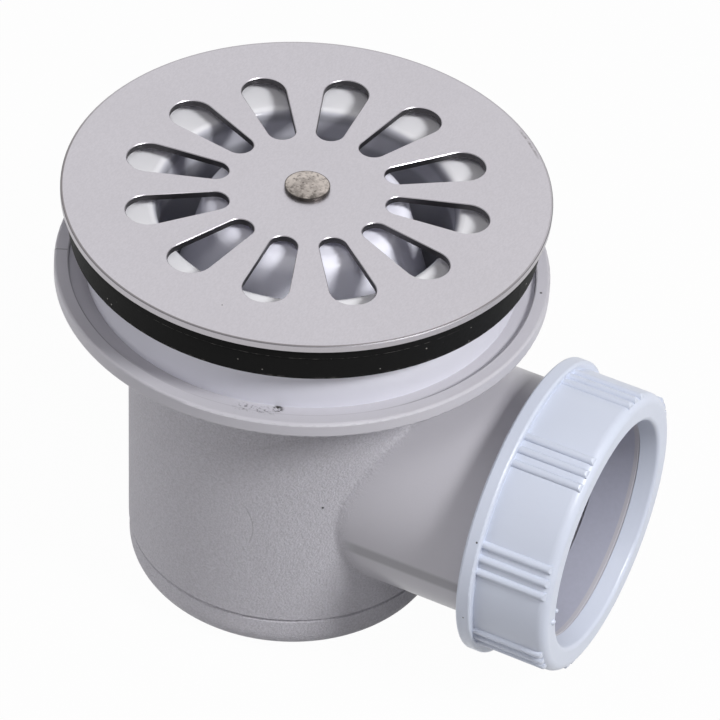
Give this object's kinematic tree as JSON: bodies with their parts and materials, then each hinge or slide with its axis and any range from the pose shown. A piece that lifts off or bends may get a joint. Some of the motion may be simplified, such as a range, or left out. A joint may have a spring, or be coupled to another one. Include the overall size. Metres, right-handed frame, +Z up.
{
  "type": "shower trap",
  "caption": "Shower tray waste trap with a slotted round strainer, bell-type water seal, clamping flange and a horizontal compression outlet with a ribbed nut.",
  "frame": {"origin": "centre of the base underside, on the axis of the strainer", "axes": "+Z up through the strainer, +X out along the outlet"},
  "size_m": [0.1059, 0.0868, 0.0844],
  "materials": {
    "strainer_steel": "satin",
    "rivet_metal": "tarnished",
    "white_plastic": "gloss",
    "black_rubber": "matt",
    "grey_plastic": "fine sand texture",
    "nut_plastic": "semi-gloss",
    "grey_seal": "satin"
  },
  "bodies": {
    "trap": {"strainer_disc": "strainer_steel", "strainer_rivet": "rivet_metal", "rivet_washer": "rivet_metal", "bell": "white_plastic", "rim_gasket": "black_rubber", "trap_bowl": "white_plastic", "trap_body": "grey_plastic", "base_cap": "grey_plastic", "outlet_seal": "grey_seal"},
    "slip": {"slip_ring": "grey_plastic"},
    "nut": {"outlet_nut": "nut_plastic"}
  },
  "joints": [
    {"name": "nut_travel", "type": "slide", "parent": "trap", "child": "slip", "axis": [1, 0, 0], "range_m": [0, 0.00693]},
    {"name": "nut_turn", "type": "hinge", "parent": "slip", "child": "nut", "pos_m": [0.0543, 0, 0.0315], "axis": [1, 0, 0], "range_deg": [0, 1080]}
  ],
  "couplings": [
    {"joint": "nut_travel", "follows": "nut_turn", "m_per_rad": 0.00036749}
  ]
}
